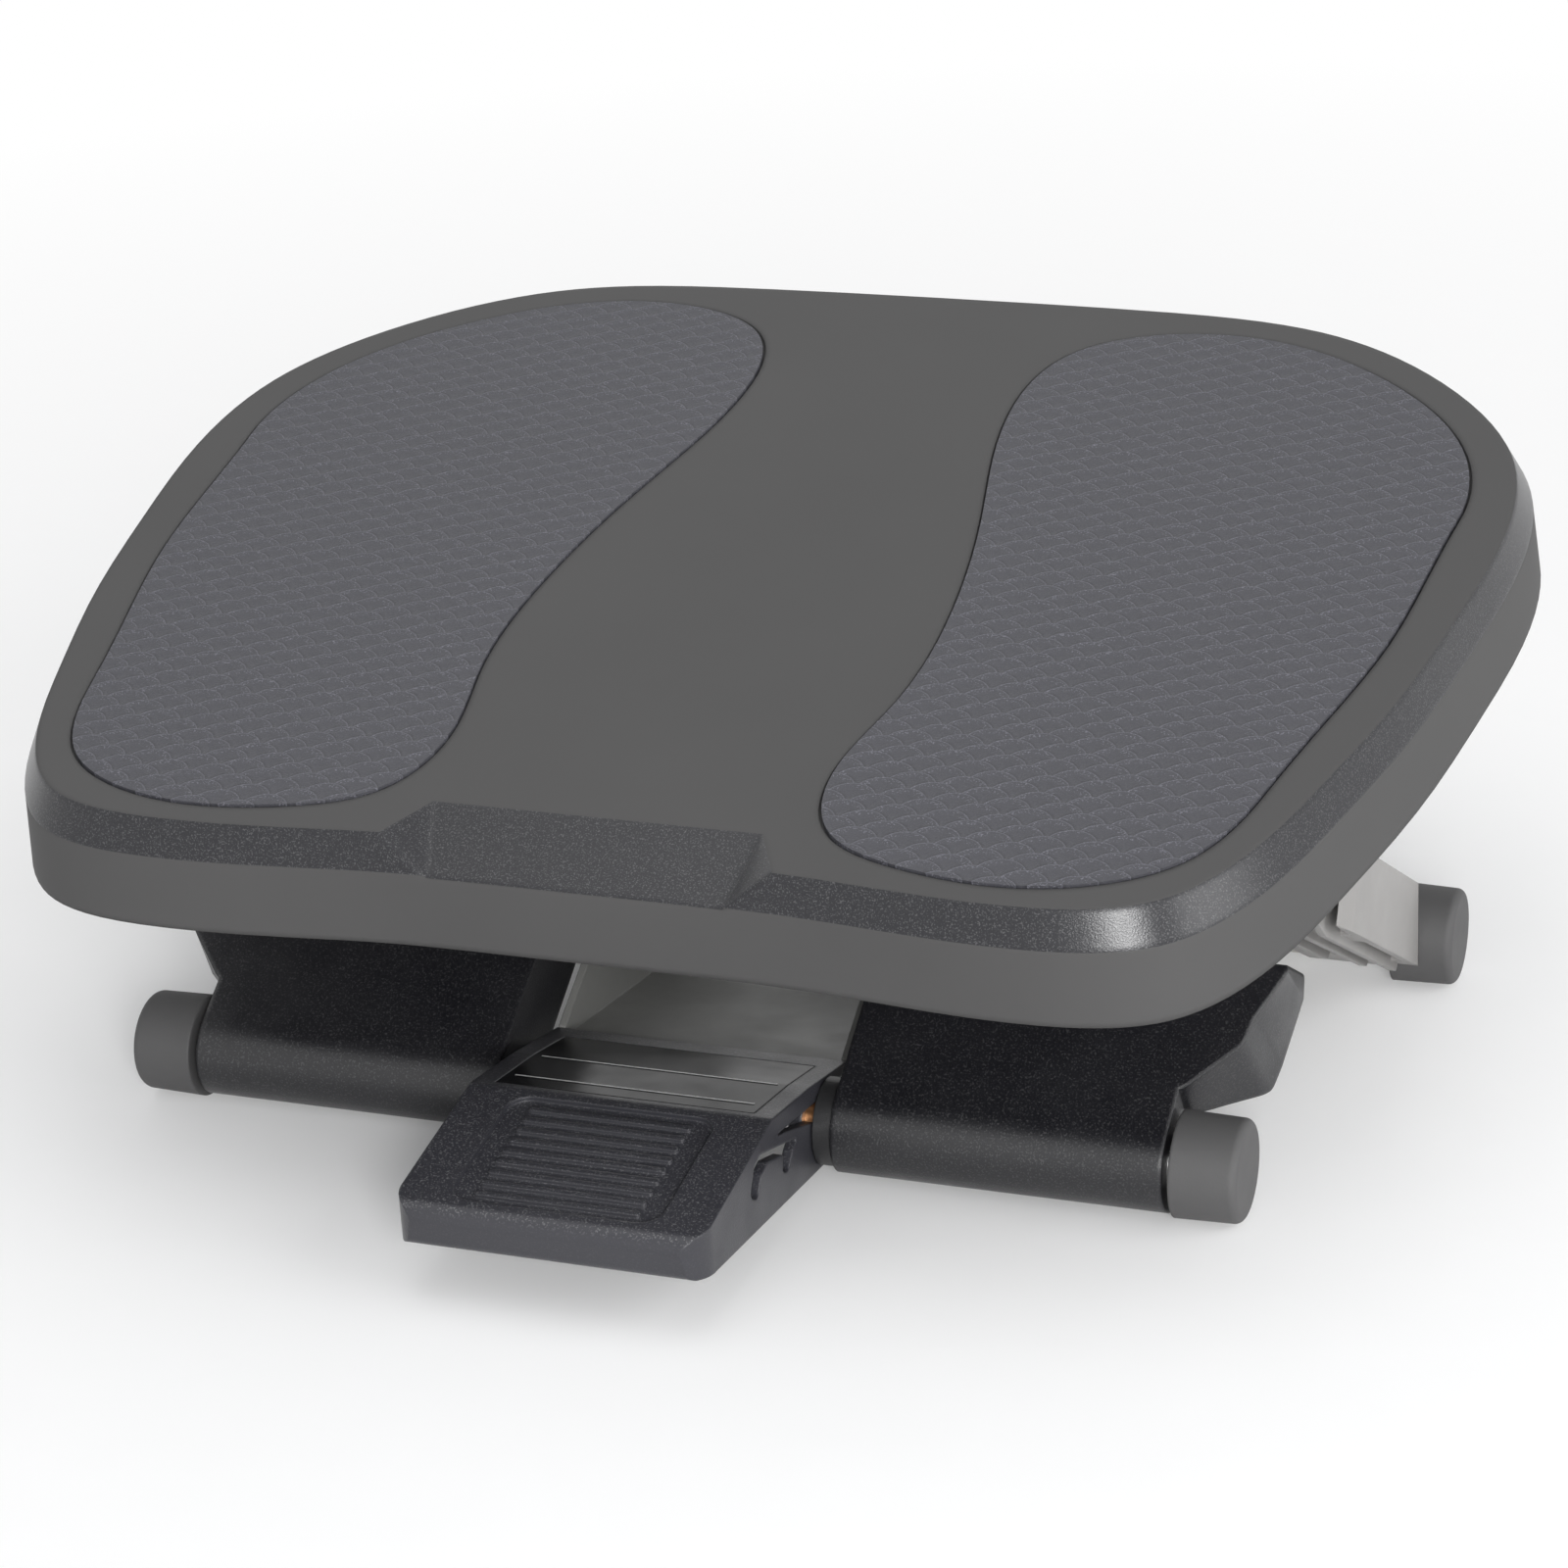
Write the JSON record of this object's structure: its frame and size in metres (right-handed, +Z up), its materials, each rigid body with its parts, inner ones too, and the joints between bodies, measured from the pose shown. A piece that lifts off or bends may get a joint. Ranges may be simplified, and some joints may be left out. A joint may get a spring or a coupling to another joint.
{
  "type": "tilting under desk footrest",
  "caption": "Under desk footrest: tilting deck with two soft foot mats on a scissor stand with rubber feet and a sprung height pedal.",
  "frame": {"origin": "on the floor, under the middle of the bounding box", "axes": "+X to the right side as the picture shows it, +Y to the back, +Z up; the pedal points to -Y"},
  "size_m": [0.456, 0.4071, 0.18],
  "materials": {
    "deck_plastic": "satin",
    "mat_rubber": "textured",
    "front_leg_plastic": "glossy",
    "rear_leg_plastic": "satin",
    "cap_rubber": "matte",
    "pedal_plastic": "textured",
    "label_gloss": "glossy",
    "tray_steel": "satin",
    "frame_plastic": "satin",
    "plated_steel": "brushed",
    "spring_steel": "satin",
    "copper_alloy": "satin",
    "bush_plastic": "satin"
  },
  "bodies": {
    "rear_foot_axle": {"rear_axle_tube": "plated_steel", "left_rear_foot_cap": "cap_rubber", "right_rear_foot_cap": "cap_rubber", "rear_spacer_sleeves": "bush_plastic"},
    "rear_legs": {"left_rear_leg": "rear_leg_plastic", "right_rear_leg": "rear_leg_plastic", "scissor_pivot_pins": "plated_steel", "pivot_spacers": "bush_plastic", "slide_rod": "plated_steel", "slide_rollers": "bush_plastic"},
    "front_legs": {"left_front_leg": "front_leg_plastic", "right_front_leg": "front_leg_plastic", "top_hinge_rod": "plated_steel"},
    "front_foot_axle": {"front_axle_tube": "plated_steel", "left_front_foot_cap": "cap_rubber", "right_front_foot_cap": "cap_rubber", "axle_collars": "frame_plastic", "pedal_bushes": "copper_alloy", "pedal_return_springs": "spring_steel"},
    "pedal": {"pedal_shell": "pedal_plastic", "pedal_label_plate": "label_gloss", "latch_tray": "tray_steel", "tray_rivets": "plated_steel", "spring_rod": "plated_steel"},
    "cradle": {"cradle_frame": "frame_plastic", "tilt_axle": "plated_steel", "tilt_friction_washers": "bush_plastic"},
    "deck": {"deck_shell": "deck_plastic", "left_foot_mat": "mat_rubber", "right_foot_mat": "mat_rubber", "left_tilt_bearing": "frame_plastic", "right_tilt_bearing": "frame_plastic", "bearing_screws": "plated_steel"}
  },
  "joints": [
    {"name": "height", "type": "hinge", "parent": "rear_foot_axle", "child": "rear_legs", "pos_m": [0, 0.06884, 0.016], "axis": [-1, 0, 0], "range_deg": [0, 14]},
    {"name": "scissor_cross", "type": "hinge", "parent": "rear_legs", "child": "front_legs", "pos_m": [0, -0.01466, 0.06617], "axis": [1, 0, 0], "range_deg": [0, 28]},
    {"name": "front_foot_pivot", "type": "hinge", "parent": "front_legs", "child": "front_foot_axle", "pos_m": [0, -0.09816, 0.016], "axis": [1, 0, 0], "range_deg": [-14, 0]},
    {"name": "cradle_pivot", "type": "hinge", "parent": "front_legs", "child": "cradle", "pos_m": [0, 0.0582, 0.10995], "axis": [1, 0, 0], "range_deg": [-14, 0]},
    {"name": "pedal_press", "type": "hinge", "parent": "front_foot_axle", "child": "pedal", "pos_m": [0, -0.09816, 0.016], "axis": [1, 0, 0], "range_deg": [0, 5], "stiffness_Nm_per_rad": 2, "springref_deg": -11.46},
    {"name": "deck_tilt", "type": "hinge", "parent": "cradle", "child": "deck", "pos_m": [0, -0.01466, 0.10995], "axis": [1, 0, 0], "range_deg": [-8, 6]}
  ],
  "couplings": [
    {"joint": "scissor_cross", "follows": "height", "ratio": 2},
    {"joint": "front_foot_pivot", "follows": "height", "ratio": -1},
    {"joint": "cradle_pivot", "follows": "height", "ratio": -1}
  ]
}
